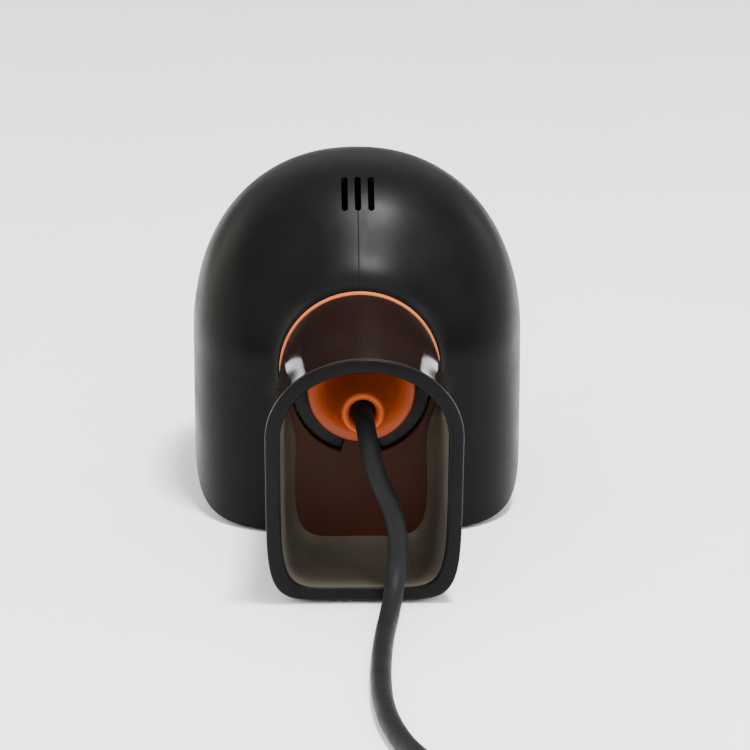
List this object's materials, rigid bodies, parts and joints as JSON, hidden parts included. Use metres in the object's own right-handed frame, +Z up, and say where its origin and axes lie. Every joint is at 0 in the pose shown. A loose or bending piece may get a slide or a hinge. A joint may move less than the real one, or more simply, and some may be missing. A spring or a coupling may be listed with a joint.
{
  "type": "presentation barcode scanner",
  "caption": "Hands-free presentation barcode scanner with a helmet-shaped head, a swivelling smoky tail hood, an orange cable outlet and a coiled lead with a plug.",
  "frame": {"origin": "on the resting plane, below the middle of the body's bounding box, with the lead left out", "axes": "+Z up, +Y out of the scan window, tail hood and lead towards -Y, +X to the right when the tail faces the viewer"},
  "size_m": [0.085, 0.3185, 0.0905],
  "materials": {
    "black_rubber": "matt",
    "board_green": "solder mask",
    "brass_metal": "turned",
    "bright_steel": "bright",
    "cable_grey": "matt, soft",
    "clear_lens": "polished",
    "dark_plastic": "matt",
    "mirror_face": "first-surface coating",
    "motor_copper": "enamelled winding",
    "orange_plastic": "satin",
    "pale_plastic": "matt",
    "satin_black": "satin, fine moulded texture",
    "smoky_plastic": "polished, smoky translucent",
    "window_glass": "polished, dark red tint"
  },
  "bodies": {
    "root": {"rear_shell": "satin_black", "front_bezel": "satin_black", "scan_window": "window_glass", "window_seal": "black_rubber", "status_lens": "clear_lens", "button_switch": "pale_plastic", "button_board": "board_green", "base_feet": "black_rubber", "base_screws": "bright_steel", "ballast_plate": "bright_steel", "optics_carrier": "dark_plastic", "pattern_mirrors": "mirror_face", "collector_mirror": "mirror_face", "laser_holder": "dark_plastic", "laser_barrel": "brass_metal", "laser_lens": "clear_lens", "detector_board": "board_green", "detector_lens": "window_glass", "motor_board": "board_green", "motor_stator": "motor_copper", "motor_bearing": "brass_metal", "main_board": "board_green", "board_chips": "dark_plastic", "buzzer": "dark_plastic", "cable_socket": "pale_plastic", "cable_clamp": "dark_plastic", "inner_cable": "cable_grey", "neck_core": "orange_plastic", "neck_screws": "bright_steel", "friction_washer": "black_rubber", "cable_outlet": "orange_plastic", "cable": "cable_grey", "cable_coil": "cable_grey", "coil_tie": "dark_plastic", "cable_tail": "cable_grey", "plug_boot": "cable_grey", "plug_body": "cable_grey", "plug_shell": "bright_steel", "plug_tongue": "pale_plastic", "plug_contacts": "brass_metal"},
    "hood": {"hood": "smoky_plastic", "hood_plate": "smoky_plastic", "hood_backing": "orange_plastic", "hood_pads": "black_rubber"},
    "rotor": {"motor_shaft": "bright_steel", "rotor_bell": "bright_steel", "mirror_wheel": "mirror_face"},
    "button": {"mode_button": "satin_black"}
  },
  "joints": [
    {"name": "hood_twist", "type": "hinge", "parent": "root", "child": "hood", "pos_m": [0, -0.022, 0.045], "axis": [0, 1, 0], "range_deg": [-6, 6]},
    {"name": "polygon_spin", "type": "hinge", "parent": "root", "child": "rotor", "pos_m": [0, 0.02, 0.045], "axis": [0, 1, 0], "continuous": true},
    {"name": "button_press", "type": "slide", "parent": "root", "child": "button", "axis": [0, -0.9925, -0.1219], "range_m": [0, 0.0007], "stiffness_N_per_m": 400}
  ]
}
